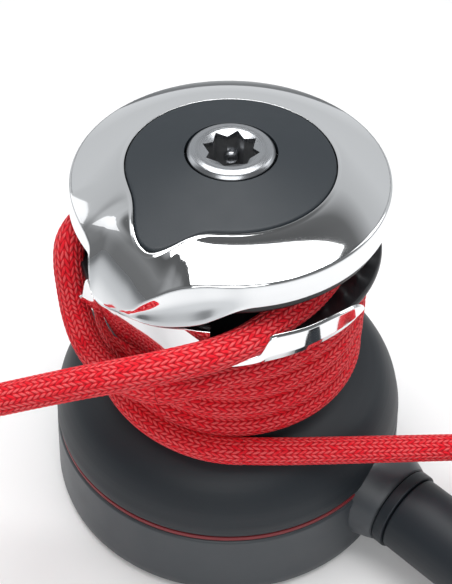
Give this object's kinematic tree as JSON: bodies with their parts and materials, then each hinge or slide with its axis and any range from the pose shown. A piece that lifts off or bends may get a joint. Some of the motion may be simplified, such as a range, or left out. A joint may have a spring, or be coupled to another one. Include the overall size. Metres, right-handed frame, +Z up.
{
  "type": "sailboat winch",
  "caption": "Powered self-tailing sheet winch: drum on a dark base, rope-gripping jaws, chrome stripper arm, top handle socket, side gearmotor and a loaded braided rope.",
  "frame": {"origin": "centre of the base's flat underside, on the drum's axis, on the deck", "axes": "+Z up along the drum's axis, -Y towards the side that the rope is led from, +X towards the loaded lead"},
  "size_m": [0.2922, 0.2181, 0.2036],
  "materials": {
    "chrome": "mirror-polished chrome plate",
    "satin_steel": "satin turned stainless steel",
    "steel": "machined stainless steel",
    "bronze": "machined bronze",
    "anodised": "hard anodised, dark blue-grey, matte",
    "base_grey": "satin dark grey",
    "black_nylon": "glass-filled nylon, semi-matte",
    "cover_plastic": "fine-textured dark moulded plastic",
    "red_ring": "dull red moulded plastic",
    "rope": "red braided polyester with fine pink flecks",
    "acetal": "off-white acetal"
  },
  "bodies": {
    "root": {"base_housing": "base_grey", "drive_housing": "base_grey", "gear_plate": "steel", "stem_screw_1": "steel", "stem_screw_2": "steel", "stem_screw_3": "steel", "stem_screw_4": "steel", "drum_retainer_ring": "steel", "cap_screw_1": "steel", "cap_screw_2": "steel", "cap_screw_3": "steel", "idler_pin_1": "steel", "idler_pin_2": "steel", "motor_screw_1": "steel", "motor_screw_2": "steel", "motor_screw_3": "steel", "center_stem": "anodised", "motor_collar": "anodised", "motor_body": "anodised", "spindle_bush_lower": "bronze", "spindle_bush_upper": "bronze", "bearing_spacer": "acetal", "red_wear_ring": "red_ring", "motor_end_cap": "black_nylon", "stripper": "chrome", "top_cover": "cover_plastic", "rope_wraps": "rope", "rope_in_jaws": "rope", "rope_tail": "rope", "tail_knot": "rope", "rope_lead": "rope", "lead_eye": "rope"},
    "drum": {"drum": "anodised", "ring_gear": "bronze", "upper_jaw": "black_nylon", "jaw_screw_1": "steel", "jaw_screw_2": "steel", "jaw_screw_3": "steel", "jaw_spring": "steel"},
    "lower_jaw": {"lower_jaw": "black_nylon"},
    "spindle": {"main_spindle": "steel", "socket_collar": "satin_steel", "spindle_gear_slow": "steel", "drive_wheel": "bronze", "pawl_spring_1": "steel", "pawl_spring_2": "steel"},
    "fast_gear": {"spindle_gear_fast": "steel"},
    "pawl_1": {"pawl_1": "steel"},
    "pawl_2": {"pawl_2": "steel"},
    "idler_1": {"idler_gear_1": "steel"},
    "idler_2": {"idler_gear_2": "steel"},
    "drive_shaft": {"drive_shaft": "steel"},
    "lower_cage": {"lower_roller_cage": "acetal"},
    "upper_cage": {"upper_roller_cage": "acetal"}
  },
  "joints": [
    {"name": "drum_spin", "type": "hinge", "parent": "root", "child": "drum", "pos_m": [0, 0, 0], "axis": [0, 0, -1], "continuous": true},
    {"name": "lower_jaw_float", "type": "slide", "parent": "drum", "child": "lower_jaw", "axis": [0, 0, -1], "range_m": [0, 0.0012]},
    {"name": "spindle_spin", "type": "hinge", "parent": "root", "child": "spindle", "pos_m": [0, 0, 0], "axis": [0, 0, -1], "continuous": true},
    {"name": "fast_gear_spin", "type": "hinge", "parent": "root", "child": "fast_gear", "pos_m": [0, 0, 0], "axis": [0, 0, -1], "continuous": true},
    {"name": "idler_1_spin", "type": "hinge", "parent": "root", "child": "idler_1", "pos_m": [-0.03983, 0.03343, 0], "axis": [0, 0, -1], "continuous": true},
    {"name": "idler_2_spin", "type": "hinge", "parent": "root", "child": "idler_2", "pos_m": [-0.03864, -0.03479, 0], "axis": [0, 0, -1], "continuous": true},
    {"name": "drive_shaft_spin", "type": "hinge", "parent": "root", "child": "drive_shaft", "pos_m": [0.01414, 0.01414, 0.027], "axis": [0.7071, -0.7071, 0], "continuous": true},
    {"name": "lower_cage_roll", "type": "hinge", "parent": "root", "child": "lower_cage", "pos_m": [0, 0, 0], "axis": [0, 0, -1], "continuous": true},
    {"name": "upper_cage_roll", "type": "hinge", "parent": "root", "child": "upper_cage", "pos_m": [0, 0, 0], "axis": [0, 0, -1], "continuous": true},
    {"name": "pawl_1_swing", "type": "hinge", "parent": "spindle", "child": "pawl_1", "pos_m": [0.0109, 0.00397, 0], "axis": [0, 0, 1], "range_deg": [-4, 8]},
    {"name": "pawl_2_swing", "type": "hinge", "parent": "spindle", "child": "pawl_2", "pos_m": [-0.0109, -0.00397, 0], "axis": [0, 0, 1], "range_deg": [-4, 8]}
  ],
  "couplings": [
    {"joint": "idler_1_spin", "follows": "drum_spin", "ratio": 4.7143},
    {"joint": "idler_2_spin", "follows": "drum_spin", "ratio": 4.7143},
    {"joint": "spindle_spin", "follows": "drum_spin", "ratio": -5.9441},
    {"joint": "fast_gear_spin", "follows": "drum_spin", "ratio": -4.0408},
    {"joint": "drive_shaft_spin", "follows": "drum_spin", "ratio": 13.87},
    {"joint": "lower_cage_roll", "follows": "drum_spin", "ratio": 0.539},
    {"joint": "upper_cage_roll", "follows": "drum_spin", "ratio": 0.539}
  ]
}
